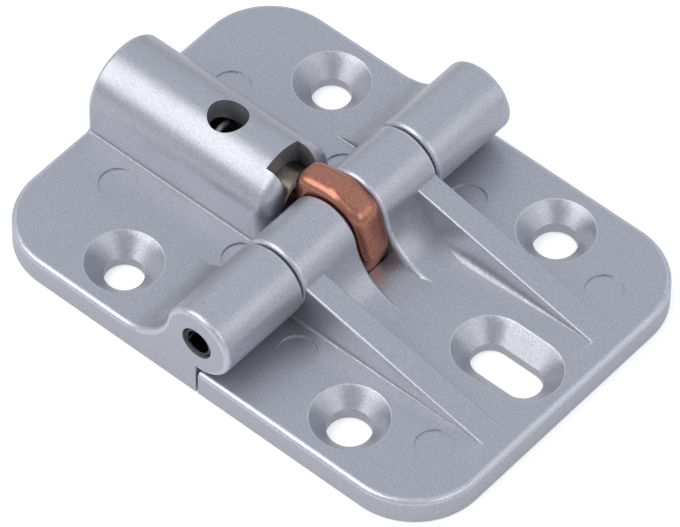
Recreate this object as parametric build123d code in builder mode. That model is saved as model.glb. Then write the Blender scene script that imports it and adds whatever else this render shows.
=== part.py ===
"""Furniture hinge: two die-cast leaves on a spring pin, with a sprung detent cam.

The pin lies along Y above the origin, the fixed leaf points to -X and the moving leaf
to +X. Both leaves lie open on their mounting faces at Z = 0. Sizes are in millimetres.
"""
import math
import os

from build123d import *

os.makedirs("parts", exist_ok=True)

# Leaves
leaf_length = 31.5
leaf_width = 46.5
leaf_thickness = 3.3
leaf_corner_radius = 8.6
leaf_edge_radius = 0.6
butt_clearance = 0.15

# Screw holes, at the same places on both leaves
screw_reach = 16.0
screw_margin = 6.25
screw_spacing = leaf_width - 2 * screw_margin
countersink_radius = 4.4
countersink_angle = 90
countersink_edge_radius = 0.2
fixed_screw_radius = 2.25
moving_screw_radius = 2.5
slot_reach = 23.4
slot_travel = 4.4
slot_radius = 2.25

# Witness marks of the ejector pins, as distances from the pin and from the middle
witness_radius = 2.2
witness_depth = 0.2
fixed_witness_places = [(6.85, 8.35), (23.8, 9.3)]
moving_witness_places = [(6.05, 14.0), (25.2, 14.0)]

# Pin and knuckles
pin_height = 8.3
pin_radius = 2.0
pin_wall = 0.55
pin_slit = 0.7
pin_slit_angle = 205
pin_chamfer = 0.3
pin_recess = 0.25
pin_running_clearance = 0.05
knuckle_radius = 4.4
knuckle_gap = 0.25
knuckle_edge_radius = 0.5
slot_edge_radius = 0.6
web_radius = 7.0
middle_length = 21.6

# Ribs that stiffen the moving leaf
rib_width = 3.1
rib_inset = 0.15
rib_reach = 29.0
rib_drop = 2.5
rib_edge_radius = 0.3
rib_inner_foot_radius = 1.6
rib_outer_foot_radius = 0.5
rib_foot_end_radius = 0.05
rib_root = 1.4

# Spring barrel of the fixed leaf
barrel_radius = 5.8
barrel_height = 6.7
barrel_front = 5.8
barrel_mouth_radius = 1.9
barrel_foot_radius = 0.3
bore_radius = 3.1
bore_end_wall = 2.5
notch_length = 2.6
notch_clearance = 0.6
sight_hole_reach = 16.1
sight_hole_radius = 2.3

# Cam that hooks over the pin, with its toe in a pocket of the moving leaf
cam_width = 4.0
cam_side_clearance = 0.15
cam_pin_clearance = 0.1
cam_chamfer = 0.75
cam_edge_radius = 0.5
cam_swing_clearance = 0.3
nose_reach = 5.46
nose_rise = 1.2
nose_radius = 3.0
nose_tail_radius = 1.4
crest_reach = 3.76
crest_rise = 3.0
crest_radius = 1.7
arch_rise = 3.7
arch_radius = 1.6
shoulder_reach = 2.45
shoulder_rise = 2.45
shoulder_radius = 1.85
heel_reach = 4.25
heel_drop = 1.6
heel_radius = 1.5
toe_reach = 3.4
toe_rise = 0.2
toe_radius = 1.35
toe_clearance = 0.06

# Plunger and spring
plunger_clearance = 0.06
plunger_rest_clearance = 0.1
plunger_length = 6.2
plunger_dome_radius = 6.0
plunger_edge_chamfer = 0.3
spigot_length = 2.2
spigot_clearance = 0.2
spring_wire_radius = 0.45
spring_bore_clearance = 0.25
spring_turns = 9
spring_seat_clearance = 0.02

# Places that follow from the sizes above
leaf_end = leaf_width / 2
middle_end = middle_length / 2
outer_start = middle_end + knuckle_gap
web_rise = leaf_thickness + web_radius - pin_height
web_reach = math.sqrt((knuckle_radius + web_radius) ** 2 - web_rise**2)
web_angle = math.degrees(math.atan2(web_rise, web_reach))
rib_start = middle_end - rib_inset
rib_slope = (pin_height + knuckle_radius - rib_drop - leaf_thickness) / rib_reach
cam_slot = cam_width + 2 * cam_side_clearance
lug_length = middle_end - cam_slot / 2
cam_inner_radius = pin_radius + cam_pin_clearance
nose_centre = nose_reach - nose_radius
cam_sweep = math.hypot(crest_reach, crest_rise) + crest_radius
toe_height = leaf_thickness + toe_rise
barrel_length = leaf_length - barrel_front
notch_width = cam_width + 2 * notch_clearance
bore_end = bore_end_wall - leaf_length
plunger_radius = bore_radius - plunger_clearance
nose_above_bore = pin_height + nose_rise - barrel_height
dome_to_nose = plunger_dome_radius + nose_radius + plunger_rest_clearance
dome_centre = -nose_centre - math.sqrt(dome_to_nose**2 - nose_above_bore**2)
plunger_front = dome_centre + plunger_dome_radius
plunger_shoulder = plunger_front - plunger_length
spring_radius = bore_radius - spring_bore_clearance - spring_wire_radius
spigot_radius = spring_radius - spring_wire_radius - spigot_clearance
spring_start = bore_end + spring_wire_radius + spring_seat_clearance
spring_travel = plunger_shoulder - spring_wire_radius - spring_seat_clearance - spring_start
barrel_axis = Axis((0, 0, barrel_height), (1, 0, 0))


def across_pin(y, z=0):
    """Plane across the pin at the given Y and height: X to the right, Z up, facing -Y."""
    return Plane((0, y, z), x_dir=(1, 0, 0), z_dir=(0, -1, 0))


def across_barrel(x):
    """Plane across the barrel at the given X: Y to the right, Z up, facing +X."""
    return Plane((x, 0, 0), x_dir=(0, 1, 0), z_dir=(1, 0, 0))


def leaf_outline(side):
    """Outline of a leaf's plate, rounded at its two outer corners."""
    with BuildSketch() as outline:
        with Locations((side * (leaf_length + butt_clearance) / 2, 0)):
            Rectangle(leaf_length - butt_clearance, leaf_width)
        outer = outline.vertices().filter_by(lambda v: abs(v.X) > leaf_length / 2)
        fillet(outer, leaf_corner_radius)
    return outline.sketch


def knuckle(y):
    """Round section of a knuckle, on the plane across the pin at the given Y."""
    with BuildSketch(across_pin(y)) as section:
        with Locations((0, pin_height)):
            Circle(knuckle_radius)
    return section.sketch


def lug(side, y):
    """Section of a knuckle and of the hollow web that runs from it on to its plate."""
    slope = math.radians(web_angle)
    with BuildSketch(across_pin(y)) as section:
        with Locations((0, pin_height)):
            Circle(knuckle_radius)
        with BuildLine():
            Polyline(
                (side * web_reach, leaf_thickness),
                (side * web_reach, leaf_thickness / 2),
                (side * butt_clearance, leaf_thickness / 2),
                (side * butt_clearance, pin_height),
                (side * knuckle_radius * math.cos(slope), pin_height + knuckle_radius * math.sin(slope)),
            )
            CenterArc(
                (side * web_reach, leaf_thickness + web_radius),
                web_radius,
                180 + web_angle if side > 0 else 270,
                90 - web_angle,
            )
        make_face()
    return section.sketch


def lips(body, y):
    """Upper edges of the lugs that end at the given distance from the middle."""
    ends = body.edges().filter_by(lambda e: abs(abs(e.center().Y) - y) < 0.001)
    return ends.filter_by(lambda e: e.center().Z > leaf_thickness)


def rib_foot(y, way, radius):
    """Hollow foot along one side of a rib, from the given Y, which runs out towards the rib's tip."""
    with BuildPart() as foot:
        for x, size in ((butt_clearance, radius), (rib_reach - rib_root, rib_foot_end_radius)):
            with BuildSketch(across_barrel(x)):
                with Locations((y + way * size / 2, leaf_thickness)):
                    Rectangle(size, size, align=(Align.CENTER, Align.MIN))
                with Locations((y + way * size, leaf_thickness + size)):
                    Circle(size, mode=Mode.SUBTRACT)
        loft()
    return foot.part


def rib(y):
    """Stiffening rib with rounded top edges, from the given Y towards -Y."""
    with BuildPart() as bar:
        with BuildSketch(across_pin(y)):
            with BuildLine():
                Polyline(
                    (butt_clearance, leaf_thickness / 3),
                    (rib_reach + rib_root, leaf_thickness / 3),
                    (rib_reach + rib_root, leaf_thickness - rib_slope * rib_root),
                    (butt_clearance, leaf_thickness + rib_slope * (rib_reach - butt_clearance)),
                    close=True,
                )
            make_face()
        extrude(amount=rib_width)
        top = bar.faces().sort_by(lambda f: f.normal_at().Z)[-1]
        long_edges = top.edges().filter_by(lambda e: e.length > rib_width + 0.01)
        fillet(long_edges, rib_edge_radius)
    return bar.part


def rim(body, side):
    """Upper edges along a leaf's outline, with none of its butt line."""
    outline = leaf_outline(side).wire()

    def on_rim(edge):
        x, y, z = edge @ 0.5
        on_outline = outline.distance_to(Vector(x, y, 0)) < 0.001
        return on_outline and z > leaf_thickness - 0.001 and side * x > 2 * butt_clearance

    return body.edges().filter_by(on_rim)


def countersink_rims(body):
    """Edges where the countersinks of a leaf open on the top of its plate."""
    level = body.faces().filter_by(Plane.XY)
    tops = level.filter_by_position(Axis.Z, leaf_thickness - 0.001, leaf_thickness + 0.001)
    plate_top = tops.sort_by(SortBy.AREA)[-1]
    return [edge for wire in plate_top.inner_wires() for edge in wire.edges()]


def both_halves(reach, across, side):
    """Places on both halves of a leaf, from the distances to the pin and to the middle."""
    return [(side * reach, -across), (side * reach, across)]


# Fixed leaf: plate, two outer knuckles and the spring barrel, cast in one piece
with BuildPart() as fixed_leaf:
    for end in (leaf_end, -outer_start):
        extrude(knuckle(end), amount=leaf_end - outer_start)
    fillet(lips(fixed_leaf, outer_start), knuckle_edge_radius)
    for end in (leaf_end, -outer_start - knuckle_edge_radius):
        extrude(lug(-1, end), amount=leaf_end - outer_start - knuckle_edge_radius)
    extrude(leaf_outline(-1), amount=leaf_thickness)
    with BuildSketch(across_barrel(-leaf_length)):
        with Locations((0, barrel_height)):
            Circle(barrel_radius)
        with Locations((0, barrel_height / 2)):
            Rectangle(2 * barrel_radius, barrel_height)
    extrude(amount=barrel_length)

    # Cast roundings: barrel mouth, barrel foot, then the whole outer rim in one run
    mouth = fixed_leaf.faces().filter_by(Plane.YZ).sort_by(lambda f: abs(f.center().X + barrel_front))[0]
    fillet(mouth.edges().filter_by(lambda e: e.center().Z > leaf_thickness + 0.01), barrel_mouth_radius)
    top_lines = fixed_leaf.edges().filter_by(Axis.X).filter_by_position(
        Axis.Z, leaf_thickness - 0.01, leaf_thickness + 0.01
    )
    fillet(top_lines.filter_by(lambda e: abs(e.center().Y) < leaf_end / 2), barrel_foot_radius)
    fillet(rim(fixed_leaf, -1), leaf_edge_radius)

    # Bore of the barrel, the notch in its mouth and the sight hole over the spring
    with BuildSketch(across_barrel(bore_end)):
        with Locations((0, barrel_height)):
            Circle(bore_radius)
    extrude(amount=leaf_length, mode=Mode.SUBTRACT)
    with BuildSketch(Plane.XY.offset(pin_height)):
        with Locations((-barrel_front - notch_length, 0)):
            Rectangle(barrel_front, notch_width, align=(Align.MIN, Align.CENTER))
    extrude(amount=barrel_radius, mode=Mode.SUBTRACT)
    with BuildSketch(Plane.XY.offset(barrel_height)):
        with Locations((-sight_hole_reach, 0)):
            Circle(sight_hole_radius)
    extrude(amount=2 * barrel_radius, mode=Mode.SUBTRACT)

    # Groove in which the nose of the cam swings past, and the hole of the pin
    with BuildSketch(across_pin(cam_slot / 2)):
        with Locations((0, pin_height)):
            Circle(cam_sweep + cam_swing_clearance)
    extrude(amount=cam_slot, mode=Mode.SUBTRACT)
    with BuildSketch(across_pin(leaf_end)):
        with Locations((0, pin_height)):
            Circle(pin_radius)
    extrude(amount=leaf_width, mode=Mode.SUBTRACT)

    # Screw holes and witness marks
    with Locations(Plane.XY.offset(leaf_thickness)):
        with Locations(both_halves(screw_reach, screw_spacing / 2, -1)):
            CounterSinkHole(fixed_screw_radius, countersink_radius, counter_sink_angle=countersink_angle)
    fillet(countersink_rims(fixed_leaf), countersink_edge_radius)
    with BuildSketch(Plane.XY.offset(leaf_thickness)):
        for reach, across in fixed_witness_places:
            with Locations(both_halves(reach, across, -1)):
                Circle(witness_radius)
    extrude(amount=-witness_depth, mode=Mode.SUBTRACT)

fixed_leaf.part.label = "fixed_leaf"
export_step(fixed_leaf.part, "parts/fixed_leaf.step")

# Moving leaf: plate, two lugs that take the cam between them, and a rib behind each lug
rib_end = rib_start - rib_width
ribs = [
    rib(rib_start),
    rib(-rib_end),
    rib_foot(rib_start, 1, rib_outer_foot_radius),
    rib_foot(-rib_start, -1, rib_outer_foot_radius),
    rib_foot(rib_end, -1, rib_inner_foot_radius),
    rib_foot(-rib_end, 1, rib_inner_foot_radius),
]
with BuildPart() as moving_leaf:
    for end in (middle_end, lug_length / 2 - middle_end):
        extrude(knuckle(end), amount=lug_length / 2)
    fillet(lips(moving_leaf, middle_end), knuckle_edge_radius)
    for end in (middle_end - knuckle_edge_radius, -cam_slot / 2):
        extrude(lug(1, end), amount=lug_length - knuckle_edge_radius)
    fillet(lips(moving_leaf, cam_slot / 2), slot_edge_radius)
    extrude(leaf_outline(1), amount=leaf_thickness)
    add(ribs)
    fillet(rim(moving_leaf, 1), leaf_edge_radius)

    # Pocket for the toe of the cam, and the hole of the pin
    with BuildSketch(across_pin(cam_slot / 2)):
        with Locations((toe_reach, toe_height)):
            Circle(toe_radius + toe_clearance)
    extrude(amount=cam_slot, mode=Mode.SUBTRACT)
    with BuildSketch(across_pin(leaf_end)):
        with Locations((0, pin_height)):
            Circle(pin_radius + pin_running_clearance)
    extrude(amount=leaf_width, mode=Mode.SUBTRACT)

    # Screw holes, the countersunk slot for adjusting, and witness marks
    with Locations(Plane.XY.offset(leaf_thickness)):
        with Locations(both_halves(screw_reach, screw_spacing / 2, 1)):
            CounterSinkHole(moving_screw_radius, countersink_radius, counter_sink_angle=countersink_angle)
    with BuildSketch(Plane.XY.offset(leaf_thickness)):
        with Locations((slot_reach, 0)):
            SlotCenterToCenter(slot_travel, 2 * countersink_radius)
    extrude(amount=slot_radius - countersink_radius, taper=countersink_angle / 2, mode=Mode.SUBTRACT)
    with BuildSketch():
        with Locations((slot_reach, 0)):
            SlotCenterToCenter(slot_travel, 2 * slot_radius)
    extrude(amount=leaf_thickness, mode=Mode.SUBTRACT)
    fillet(countersink_rims(moving_leaf), countersink_edge_radius)
    with BuildSketch(Plane.XY.offset(leaf_thickness)):
        for reach, across in moving_witness_places:
            with Locations(both_halves(reach, across, 1)):
                Circle(witness_radius)
    extrude(amount=-witness_depth, mode=Mode.SUBTRACT)

moving_leaf.part.label = "moving_leaf"
export_step(moving_leaf.part, "parts/moving_leaf.step")

# Hinge pin: a rolled spring pin, slit along its length
with BuildPart() as hinge_pin:
    with BuildSketch(across_pin(leaf_end - pin_recess)):
        with Locations((0, pin_height)):
            Circle(pin_radius)
    extrude(amount=leaf_width - 2 * pin_recess)
    chamfer(hinge_pin.edges().filter_by(GeomType.CIRCLE), pin_chamfer)
    with BuildSketch(across_pin(leaf_end)):
        with Locations((0, pin_height)):
            Circle(pin_radius - pin_wall)
        with Locations(Location((0, pin_height), pin_slit_angle)):
            Rectangle(2 * pin_radius, pin_slit, align=(Align.MIN, Align.CENTER))
    extrude(amount=leaf_width, mode=Mode.SUBTRACT)

hinge_pin.part.label = "hinge_pin"
export_step(hinge_pin.part, "parts/hinge_pin.step")


def cam_hull(*rounds):
    """Hull of circles on the cam's side, each given as X, height and radius."""
    with BuildSketch(across_pin(cam_width / 2)) as section:
        for x, z, radius in rounds:
            with Locations((x, z)):
                Circle(radius)
        make_hull()
    return section.sketch


# Detent cam: it hooks over the pin, its nose is caught by the plunger and its leg by the leaf
nose = (-nose_centre, pin_height + nose_rise, nose_radius)
crest = (-crest_reach, pin_height + crest_rise, crest_radius)
arch = (0, pin_height + arch_rise, arch_radius)
shoulder = (shoulder_reach, pin_height + shoulder_rise, shoulder_radius)
heel = (heel_reach, pin_height - heel_drop, heel_radius)
toe = (toe_reach, toe_height, toe_radius)
with BuildPart() as detent_cam:
    with BuildSketch(across_pin(cam_width / 2)) as cam_section:
        add(cam_hull(nose, crest, arch, shoulder))
        add(cam_hull(shoulder, heel))
        add(cam_hull(heel, toe))
        with Locations((0, pin_height)):
            Circle(cam_inner_radius, mode=Mode.SUBTRACT)
        lip = [v for v in cam_section.vertices() if v.X < 0 and v.Y < pin_height]
        fillet(lip, nose_tail_radius)
    extrude(amount=cam_width)
    sides = detent_cam.faces().filter_by(Plane.XZ)
    chamfer(sides.edges(), cam_chamfer)
    ridges = detent_cam.edges().filter_by(
        lambda e: abs(abs(e.center().Y) - (cam_width / 2 - cam_chamfer)) < 0.001
    )
    fillet(ridges, cam_edge_radius)

detent_cam.part.label = "detent_cam"
export_step(detent_cam.part, "parts/detent_cam.step")

# Plunger: domed at the cam, with a spigot that keeps the spring central
with BuildPart() as plunger:
    with BuildSketch(across_pin(0, barrel_height)):
        with Locations((dome_centre, 0)):
            Circle(plunger_dome_radius)
        with Locations((plunger_shoulder, 0)):
            Rectangle(plunger_length, plunger_radius, align=(Align.MIN, Align.MIN), mode=Mode.INTERSECT)
        with Locations((plunger_shoulder, 0)):
            Rectangle(spigot_length, spigot_radius, align=(Align.MAX, Align.MIN))
    revolve(axis=barrel_axis)
    chamfer(plunger.edges().filter_by(GeomType.CIRCLE), plunger_edge_chamfer)

plunger.part.label = "plunger"
export_step(plunger.part, "parts/plunger.step")

# Spring: a compression coil between the end of the bore and the plunger's shoulder
with BuildPart() as spring:
    with BuildLine():
        coil = Helix(
            pitch=spring_travel / spring_turns,
            height=spring_travel,
            radius=spring_radius,
            center=(spring_start, 0, barrel_height),
            direction=(1, 0, 0),
        )
    with BuildSketch(Plane(origin=coil @ 0, z_dir=coil % 0)):
        Circle(spring_wire_radius)
    sweep()

spring.part.label = "spring"
export_step(spring.part, "parts/spring.step")
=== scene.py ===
"""Looks of the furniture hinge: lacquered zinc leaves, a copper cam and steel working parts.

Metres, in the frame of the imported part: the pin along Y, the fixed leaf to -X, +Z up.
"""
import math

import bmesh
import bpy
from mathutils import Matrix, Vector


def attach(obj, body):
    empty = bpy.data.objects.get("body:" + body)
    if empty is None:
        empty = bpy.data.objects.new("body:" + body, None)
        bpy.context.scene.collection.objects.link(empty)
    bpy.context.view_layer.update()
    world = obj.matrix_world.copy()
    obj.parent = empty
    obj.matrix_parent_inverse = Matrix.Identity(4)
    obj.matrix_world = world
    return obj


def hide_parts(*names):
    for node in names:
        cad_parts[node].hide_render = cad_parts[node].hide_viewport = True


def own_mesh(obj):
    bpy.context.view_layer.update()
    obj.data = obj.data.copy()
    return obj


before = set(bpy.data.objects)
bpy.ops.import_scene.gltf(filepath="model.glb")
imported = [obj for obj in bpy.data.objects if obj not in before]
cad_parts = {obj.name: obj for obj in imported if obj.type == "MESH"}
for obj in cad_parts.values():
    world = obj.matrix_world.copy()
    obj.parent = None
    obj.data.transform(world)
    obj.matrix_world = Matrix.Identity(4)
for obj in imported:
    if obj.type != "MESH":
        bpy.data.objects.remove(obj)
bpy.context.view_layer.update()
scene = bpy.context.scene

# Fixed leaf: the left casting, die-cast in zinc as one piece with two knuckles and the spring barrel.
# It is sprayed with silver lacquer that holds fine metal flake. Strips along its ridges carry a painted
# highlight, and hollows a painted shade and more roughness.
# Two countersunk screws hold it to the fixed panel, so it stands still.
crease_angle = 32
seam_gap = 1e-6

# Edge strips are narrow rows of faces beside a bend. Bends are in radians, the curve in radians a metre.
strip_least_bend = 0.05
strip_widest = 0.0005
strip_widest_share = 2.5
strip_full_curve = 1600
hollow_most_bend = 0.8


def paint_edge_light_and_shade(work):
    """Gives the edge strips of a mesh a share of painted highlight, or of hollow for painted shade where
    the edge bends inwards.
    """
    painted_edge_highlight = work.faces.layers.float.new("painted_edge_highlight")
    hollow = work.faces.layers.float.new("hollow")
    for edge in work.edges:
        if len(edge.link_faces) != 2 or edge.calc_length() == 0:
            continue
        bend = edge.calc_face_angle_signed(0)
        if abs(bend) <= strip_least_bend:
            continue
        widths = [2 * face.calc_area() / edge.calc_length() for face in edge.link_faces]
        widest = min(strip_widest, strip_widest_share * min(widths))
        for face, width in zip(edge.link_faces, widths):
            if 0 < width < widest:
                sharpness = min(1.0, abs(bend) / width / strip_full_curve)
                # Strips beside ridges get the painted highlight; strips in hollows get the painted shade.
                if bend > 0:
                    face[painted_edge_highlight] = max(face[painted_edge_highlight], sharpness)
                elif bend > -hollow_most_bend:
                    face[hollow] = max(face[hollow], sharpness)


def smooth_copy(node, crease):
    """Copy of a CAD node, to stand for it: seams joined, and normals smooth between creases in degrees."""
    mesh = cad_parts[node].data.copy()
    work = bmesh.new()
    work.from_mesh(mesh)
    bmesh.ops.remove_doubles(work, verts=work.verts, dist=seam_gap)
    for face in work.faces:
        face.smooth = True
    for edge in work.edges:
        edge.smooth = len(edge.link_faces) == 2 and edge.calc_face_angle(0) < math.radians(crease)
    paint_edge_light_and_shade(work)
    work.to_mesh(mesh)
    work.free()
    skin = bpy.data.objects.new(node + "_skin", mesh)
    scene.collection.objects.link(skin)
    weigh = skin.modifiers.new("weigh", "WEIGHTED_NORMAL")
    weigh.keep_sharp = True
    return skin


def feed(tree, socket, value):
    """Sets a socket to a fixed value, or joins it to the output of another node."""
    if isinstance(value, bpy.types.NodeSocket):
        tree.links.new(value, socket)
    else:
        socket.default_value = value


def finish_step(tree, operation, *terms):
    """One step of arithmetic in a finish. A term is a number or the output of another node."""
    node = tree.nodes.new("ShaderNodeMath")
    node.operation = operation
    for socket, term in zip(node.inputs, terms):
        feed(tree, socket, term)
    return node.outputs["Value"]


def finish_range(tree, value, taken, given):
    """Carries a value over from the range that is taken to the one that is given, held at its ends."""
    node = tree.nodes.new("ShaderNodeMapRange")
    tree.links.new(value, node.inputs["Value"])
    for name, amount in zip(("From Min", "From Max", "To Min", "To Max"), taken + given):
        node.inputs[name].default_value = amount
    return node.outputs["Result"]


def finish_tint(tree, colour, share):
    """Makes a colour lighter or darker by a share."""
    node = tree.nodes.new("ShaderNodeVectorMath")
    node.operation = "SCALE"
    tree.links.new(colour, node.inputs[0])
    tree.links.new(share, node.inputs["Scale"])
    return node.outputs["Vector"]


def finish_cloud(tree, grain, detail):
    """Fine uneven cloud that is fixed to the piece."""
    place = tree.nodes.new("ShaderNodeTexCoord")
    cloud = tree.nodes.new("ShaderNodeTexNoise")
    cloud.inputs["Detail"].default_value = detail
    tree.links.new(place.outputs["Object"], cloud.inputs["Vector"])
    feed(tree, cloud.inputs["Scale"], grain)
    return cloud.outputs["Fac"]


def open_finish(name, colour, numbers):
    """Node group of a metal finish with its inputs, which puts out colour, roughness and relief height."""
    finish = bpy.data.node_groups.new(name, "ShaderNodeTree")
    finish.interface.new_socket(colour, in_out="INPUT", socket_type="NodeSocketColor")
    for number in numbers:
        finish.interface.new_socket(number, in_out="INPUT", socket_type="NodeSocketFloat")
    finish.interface.new_socket("Base Color", in_out="OUTPUT", socket_type="NodeSocketColor")
    for number in ("Roughness", "Height"):
        finish.interface.new_socket(number, in_out="OUTPUT", socket_type="NodeSocketFloat")
    taken = finish.nodes.new("NodeGroupInput").outputs
    given = finish.nodes.new("NodeGroupOutput").inputs
    return finish, taken, given


# The lacquer's colour: silver with the tone of the flake, darkened by painted shade in hollows and
# lightened by a painted highlight on ridge strips.
silver = (0.475, 0.482, 0.535, 1)
flake_grain = 5200.0
flake_detail = 2.0
flake_tones = (0.86, 1.12)
cloud_range = (0.3, 0.7)
# Painted shade in hollows and painted highlight on ridges, as shares of the colour.
painted_hollow_shade = -0.12
edge_highlight_lift = 0.3
flake, lacquer_in, lacquer_out = open_finish("flake_lacquer", "Silver", ("Grain", "Sparkle"))
grain = finish_cloud(flake, lacquer_in["Grain"], flake_detail)
painted_edge_highlight = flake.nodes.new("ShaderNodeAttribute")
painted_edge_highlight.attribute_name = "painted_edge_highlight"
hollow = flake.nodes.new("ShaderNodeAttribute")
hollow.attribute_name = "hollow"
# Painted shade in the hollow strips and painted highlight on the ridge strips scale the colour.
dim = finish_step(flake, "MULTIPLY_ADD", hollow.outputs["Fac"], painted_hollow_shade, 1.0)
painted_light_share = finish_step(flake, "MULTIPLY_ADD", painted_edge_highlight.outputs["Fac"], edge_highlight_lift, dim)
flaked = finish_tint(flake, lacquer_in["Silver"], finish_range(flake, grain, cloud_range, flake_tones))
flake.links.new(finish_tint(flake, flaked, painted_light_share), lacquer_out["Base Color"])

# Its roughness: blotched over the casting, and rougher in hollows.
blotch_grain = 220.0
blotch_detail = 3.0
lacquer_roughness = (0.28, 0.36)
hollow_roughness = 0.15
blotch = finish_cloud(flake, blotch_grain, blotch_detail)
rough = finish_range(flake, blotch, cloud_range, lacquer_roughness)
dull = finish_step(flake, "MULTIPLY_ADD", hollow.outputs["Fac"], hollow_roughness, rough)
flake.links.new(dull, lacquer_out["Roughness"])

# Its relief: the flakes and the grain of the cast skin.
flake_sparkle = 0.5
cells = flake.nodes.new("ShaderNodeTexVoronoi")
place = flake.nodes.new("ShaderNodeTexCoord")
flake.links.new(place.outputs["Object"], cells.inputs["Vector"])
flake.links.new(lacquer_in["Grain"], cells.inputs["Scale"])
height = finish_step(flake, "MULTIPLY_ADD", cells.outputs["Color"], lacquer_in["Sparkle"], grain)


def place_on_leaf(tree):
    """Place on a leaf as three values: x from the pin, the distance from the middle, and the height."""
    place = tree.nodes.new("ShaderNodeTexCoord")
    parts = tree.nodes.new("ShaderNodeSeparateXYZ")
    tree.links.new(place.outputs["Object"], parts.inputs[0])
    off_middle = finish_step(tree, "ABSOLUTE", parts.outputs["Y"])
    return parts.outputs["X"], off_middle, parts.outputs["Z"]


# The mould's ejector pins leave round marks with a raised ring, the same in both halves of a leaf.
# Each place is x from the pin and the distance from the middle. The last two are on the moving leaf.
mark_places = ((-0.00685, 0.00835), (-0.0238, 0.0093), (0.00605, 0.014), (0.0252, 0.014))
mark_ring_radius = 0.00235
mark_ring_half_width = 0.0001
mark_ring_height = 4.0
from_pin, off_middle = place_on_leaf(flake)[:2]
flat_place = flake.nodes.new("ShaderNodeCombineXYZ")
flake.links.new(from_pin, flat_place.inputs["X"])
flake.links.new(off_middle, flat_place.inputs["Y"])
for mark_place in mark_places:
    reach = flake.nodes.new("ShaderNodeVectorMath")
    reach.operation = "DISTANCE"
    reach.inputs[1].default_value = (*mark_place, 0)
    flake.links.new(flat_place.outputs["Vector"], reach.inputs[0])
    ring = finish_step(flake, "COMPARE", reach.outputs["Value"], mark_ring_radius, mark_ring_half_width)
    height = finish_step(flake, "MULTIPLY_ADD", ring, mark_ring_height, height)
flake.links.new(height, lacquer_out["Height"])


def finished_metal(name, finish, values, metallic, relief, relief_depth):
    """Material of a metal piece whose colour, roughness and relief come from a finish."""
    material = bpy.data.materials.new(name)
    material.use_nodes = True
    tree = material.node_tree
    shader = tree.nodes["Principled BSDF"]
    shader.inputs["Metallic"].default_value = metallic
    coat = tree.nodes.new("ShaderNodeGroup")
    coat.node_tree = finish
    for socket, value in values.items():
        coat.inputs[socket].default_value = value
    bump = tree.nodes.new("ShaderNodeBump")
    bump.name = "relief"
    bump.inputs["Strength"].default_value = relief
    bump.inputs["Distance"].default_value = relief_depth
    tree.links.new(coat.outputs["Base Color"], shader.inputs["Base Color"])
    tree.links.new(coat.outputs["Roughness"], shader.inputs["Roughness"])
    tree.links.new(coat.outputs["Height"], bump.inputs["Height"])
    tree.links.new(bump.outputs["Normal"], shader.inputs["Normal"])
    return material


def lay_finish(skin, material):
    """Gives a piece one material all over."""
    skin.data.materials.clear()
    skin.data.materials.append(material)


lacquer = {"Silver": silver, "Grain": flake_grain, "Sparkle": flake_sparkle}
lacquer_metallic = 0.75
lacquer_relief = 0.32
lacquer_relief_depth = 0.00005
lacquer_coat = 0.15
lacquer_coat_roughness = 0.3
zinc = finished_metal(
    "lacquered_zinc", flake, lacquer, lacquer_metallic, lacquer_relief, lacquer_relief_depth
)
shader = zinc.node_tree.nodes["Principled BSDF"]
shader.inputs["Coat Weight"].default_value = lacquer_coat
shader.inputs["Coat Roughness"].default_value = lacquer_coat_roughness
fixed = smooth_copy("fixed_leaf", crease_angle)
lay_finish(fixed, zinc)
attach(fixed, "fixed")
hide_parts("fixed_leaf")

# Moving leaf: the right casting, die-cast in zinc with two lugs, two sloping ribs and a slotted hole.
# It has the same silver lacquer. It is screwed to the moving panel and folds about the pin.
# Between the ribs its floor rises softly to their walls, and the shading of the lacquer shows that rise.
rib_ends = (0.006, 0.029)
rib_wall = 0.00755
rib_far_wall = 0.0091
rib_fall = -0.2379
rib_top_at_pin = 0.0102
rise_foot = 0.0031
rise_widths = (0.0048, 0.0004)
rise_fade = 2.0
rise_start = (0.007, 0.014)
rise_strength = (0.0, 150.0)
rise_depth = 0.001
tree = zinc.node_tree
from_pin, off_middle, above_floor = place_on_leaf(tree)
rise_width = finish_range(tree, from_pin, rib_ends, rise_widths)
from_wall = finish_step(tree, "SUBTRACT", rib_wall, off_middle)
share = finish_step(tree, "DIVIDE", from_wall, rise_width)
share.node.use_clamp = True
fade = finish_step(tree, "POWER", finish_step(tree, "SUBTRACT", 1.0, share), rise_fade)
rib_top = finish_step(tree, "MULTIPLY_ADD", from_pin, rib_fall, rib_top_at_pin)
below_top = finish_step(tree, "MAXIMUM", finish_step(tree, "SUBTRACT", rib_top, above_floor), 0.0)
strength = finish_range(tree, from_pin, rise_start, rise_strength)
between_ribs = finish_step(tree, "LESS_THAN", off_middle, rib_far_wall)
on_top = finish_step(tree, "GREATER_THAN", above_floor, rise_foot)
rise = below_top
for factor in (fade, strength, between_ribs, on_top):
    rise = finish_step(tree, "MULTIPLY", rise, factor)
rib_rise = tree.nodes.new("ShaderNodeBump")
rib_rise.inputs["Distance"].default_value = rise_depth
tree.links.new(rise, rib_rise.inputs["Height"])
tree.links.new(rib_rise.outputs["Normal"], tree.nodes["relief"].inputs["Normal"])
moving = smooth_copy("moving_leaf", crease_angle)
lay_finish(moving, zinc)
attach(moving, "moving")
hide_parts("moving_leaf")

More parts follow.
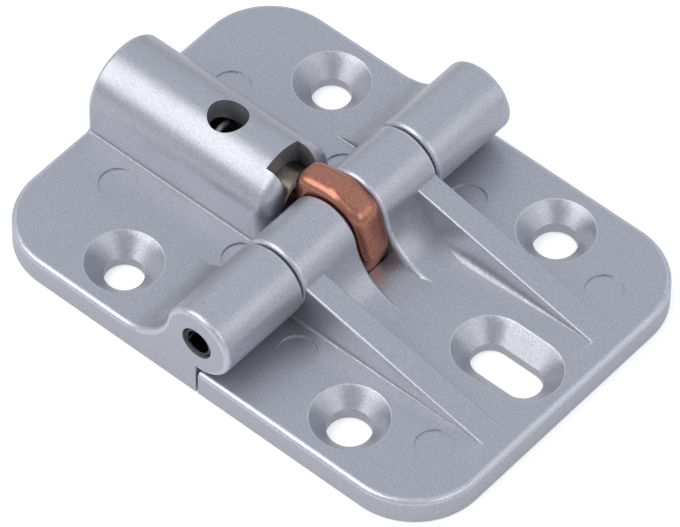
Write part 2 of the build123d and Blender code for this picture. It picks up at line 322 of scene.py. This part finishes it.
# Detent cam: the steel hook over the pin between the lugs, plated with satin copper and tumbled.
# Tumbling rounds its ridges, so its copy is meshed evenly and softened all over but for the bore.
# It is held by the moving leaf and turns with it.
copper_tones = ((0.3, (0.44, 0.178, 0.122, 1)), (0.7, (0.555, 0.25, 0.18, 1)))
copper_grain = 2600.0
copper_detail = 3.0
copper_roughness = (0.2, 0.32)
copper_relief = 0.15
copper_relief_depth = 0.00003
bare_metal = 1.0
whole_range = (0.0, 1.0)
pin_height = 0.0083
bore_reach = 0.0023
cam_crease = 180
cam_mesh_step = 0.0001
softenings = 130
softening = 0.5
copper = bpy.data.materials.new("copper_plate")
copper.use_nodes = True
tree = copper.node_tree
shader = tree.nodes["Principled BSDF"]
shader.inputs["Metallic"].default_value = bare_metal
grain = finish_cloud(tree, copper_grain, copper_detail)
ramp = tree.nodes.new("ShaderNodeValToRGB")
for stop, (position, tone) in zip(ramp.color_ramp.elements, copper_tones):
    stop.position = position
    stop.color = tone
tree.links.new(grain, ramp.inputs["Fac"])
tree.links.new(ramp.outputs["Color"], shader.inputs["Base Color"])
tree.links.new(finish_range(tree, grain, whole_range, copper_roughness), shader.inputs["Roughness"])
bump = tree.nodes.new("ShaderNodeBump")
bump.inputs["Strength"].default_value = copper_relief
bump.inputs["Distance"].default_value = copper_relief_depth
tree.links.new(grain, bump.inputs["Height"])
tree.links.new(bump.outputs["Normal"], shader.inputs["Normal"])
cam = smooth_copy("detent_cam", cam_crease)
cam.modifiers.clear()
even = cam.modifiers.new("even", "REMESH")
even.mode = "VOXEL"
even.voxel_size = cam_mesh_step
even.use_smooth_shade = True
even_cam = cam.evaluated_get(bpy.context.evaluated_depsgraph_get())
cam_mesh = bpy.data.meshes.new_from_object(even_cam)
cam.modifiers.clear()
cam.data = cam_mesh
work = bmesh.new()
work.from_mesh(cam_mesh)
outside = [vert for vert in work.verts if math.hypot(vert.co.x, vert.co.z - pin_height) > bore_reach]
for _ in range(softenings):
    bmesh.ops.smooth_vert(
        work, verts=outside, factor=softening, use_axis_x=True, use_axis_y=True, use_axis_z=True
    )
for face in work.faces:
    face.smooth = True
work.to_mesh(cam_mesh)
work.free()
lay_finish(cam, copper)
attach(cam, "moving")
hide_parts("detent_cam")

# Hinge pin: a strip of spring steel rolled into a slit tube, dark and oiled, seen at its two ends.
# It is pressed into the outer knuckles of the fixed leaf, and the lugs of the moving leaf turn on it.
pin_colour = (0.07, 0.07, 0.073, 1)
pin_smear = 2500.0
oil_detail = 3.0
oil_tones = (0.75, 1.25)
oil_roughness = (0.2, 0.4)
oil_relief = 0.15
oil_relief_depth = 0.00003
oiled, oil_in, oil_out = open_finish("oiled_steel", "Steel", ("Smear",))
film = finish_cloud(oiled, oil_in["Smear"], oil_detail)
film_tone = finish_range(oiled, film, cloud_range, oil_tones)
oiled.links.new(finish_tint(oiled, oil_in["Steel"], film_tone), oil_out["Base Color"])
oiled.links.new(finish_range(oiled, film, cloud_range, oil_roughness), oil_out["Roughness"])
oiled.links.new(film, oil_out["Height"])


def steel(name, colour, smear):
    """Steel under a thin film of oil. The smear sets how finely the film breaks up."""
    values = {"Steel": colour, "Smear": smear}
    return finished_metal(name, oiled, values, bare_metal, oil_relief, oil_relief_depth)


pin = smooth_copy("hinge_pin", crease_angle)
lay_finish(pin, steel("pin_steel", pin_colour, pin_smear))
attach(pin, "fixed")
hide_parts("hinge_pin")

# Plunger: a round steel piece with a domed nose, under a faint olive film of grease.
# It slides in the bore of the barrel, where the spring pushes it towards the cam.
plunger_colour = (0.19, 0.17, 0.14, 1)
plunger_smear = 900.0
plunger = smooth_copy("plunger", crease_angle)
lay_finish(plunger, steel("plunger_steel", plunger_colour, plunger_smear))
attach(plunger, "plunger")
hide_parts("plunger")

# Spring: a coil of drawn steel wire in the barrel, seen through the barrel's sight hole.
# Its far end rests on the bottom of the bore, and it shortens as the plunger goes in.
spring_colour = (0.35, 0.34, 0.32, 1)
spring_smear = 4000.0
spring_crease = 50
spring = smooth_copy("spring", spring_crease)
lay_finish(spring, steel("spring_steel", spring_colour, spring_smear))
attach(spring, "fixed")
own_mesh(spring)
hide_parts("spring")

# Floor: a plain sheet of pale paper that the hinge lies on, a hair below its mounting faces.
# The camera sees it white apart from the shadow. The metal mirrors it as a soft grey.
floor_half_width = 1.5
floor_height = -0.0002
paper_white = (0.95, 0.95, 0.95, 1)
paper_mirrored = (0.58, 0.58, 0.6, 1)
paper_roughness = 0.9
paper_glow = 0.42
floor_mesh = bpy.data.meshes.new("floor")
work = bmesh.new()
bmesh.ops.create_grid(work, x_segments=1, y_segments=1, size=floor_half_width)
work.to_mesh(floor_mesh)
work.free()
floor = bpy.data.objects.new("floor", floor_mesh)
floor.location.z = floor_height
scene.collection.objects.link(floor)
paper = bpy.data.materials.new("paper")
paper.use_nodes = True
tree = paper.node_tree
shader = tree.nodes["Principled BSDF"]
shader.inputs["Roughness"].default_value = paper_roughness
shader.inputs["Specular IOR Level"].default_value = 0.0
shader.inputs["Emission Strength"].default_value = paper_glow
path = tree.nodes.new("ShaderNodeLightPath")
seen = tree.nodes.new("ShaderNodeMix")
seen.data_type = "RGBA"
seen.inputs["A"].default_value = paper_white
seen.inputs["B"].default_value = paper_mirrored
tree.links.new(path.outputs["Is Glossy Ray"], seen.inputs["Factor"])
tree.links.new(seen.outputs["Result"], shader.inputs["Base Color"])
tree.links.new(seen.outputs["Result"], shader.inputs["Emission Color"])
lay_finish(floor, paper)

# Studio: a dim even surround and four soft lights. The key at the front left draws the bright band along
# the barrel, the fill comes from the right, the wide top light evens out the plates, and the small back
# light draws a band along the knuckles. Each has its direction, distance, width, height, power and colour.
surround_colour = (0.92, 0.95, 1.0, 1)
surround_strength = 0.52
lights = (
    ("key", (-0.37, -0.53, 0.76), 0.45, 0.44, 0.4, 1.02, (1.0, 0.97, 0.95)),
    ("fill", (0.78, -0.08, 0.6), 0.45, 0.28, 0.28, 0.24, (1.0, 0.98, 0.97)),
    ("top", (-0.1, 0.54, 0.84), 0.6, 1.5, 0.9, 1.03, (0.82, 0.89, 1.0)),
    ("back", (0.76, 0.48, 0.44), 0.5, 0.26, 0.3, 0.13, (1.0, 0.97, 0.95)),
)
world = bpy.data.worlds.new("studio")
scene.world = world
world.use_nodes = True
background = world.node_tree.nodes["Background"]
background.inputs["Color"].default_value = surround_colour
background.inputs["Strength"].default_value = surround_strength
for name, towards, away, wide, high, power, colour in lights:
    lamp = bpy.data.lights.new(name, "AREA")
    lamp.shape = "RECTANGLE"
    lamp.size = wide
    lamp.size_y = high
    lamp.energy = power
    lamp.color = colour
    aim = Vector(towards).normalized()
    holder = bpy.data.objects.new(name, lamp)
    holder.location = aim * away
    holder.rotation_mode = "QUATERNION"
    holder.rotation_quaternion = aim.to_track_quat("Z", "Y")
    scene.collection.objects.link(holder)

# Camera: a long lens that looks down on the hinge from the front right. Its angles, in radians, and its
# place come from a fit to the edges, holes and corners that show in the photo.
azimuth = 0.7017
elevation = 0.8854
roll = 0.0159
distance = 0.7358
target = Vector((-0.000167, 0.000148, 0))
level = Vector((math.sin(azimuth), -math.cos(azimuth), 0))
back = math.cos(elevation) * level + math.sin(elevation) * Vector((0, 0, 1))
right = (-back).cross(Vector((0, 0, 1))).normalized()
up = right.cross(-back)
rolled_right = math.cos(roll) * right + math.sin(roll) * up
rolled_up = math.cos(roll) * up - math.sin(roll) * right
turn = Matrix((rolled_right, rolled_up, back)).transposed().to_4x4()
long_lens = bpy.data.cameras.new("camera")
long_lens.lens = 361.1
long_lens.sensor_width = 36.0
long_lens.clip_start = 0.05
long_lens.clip_end = 10.0
camera = bpy.data.objects.new("camera", long_lens)
camera.matrix_world = Matrix.Translation(target + distance * back) @ turn
scene.collection.objects.link(camera)
scene.camera = camera

scene.view_settings.view_transform = "Standard"
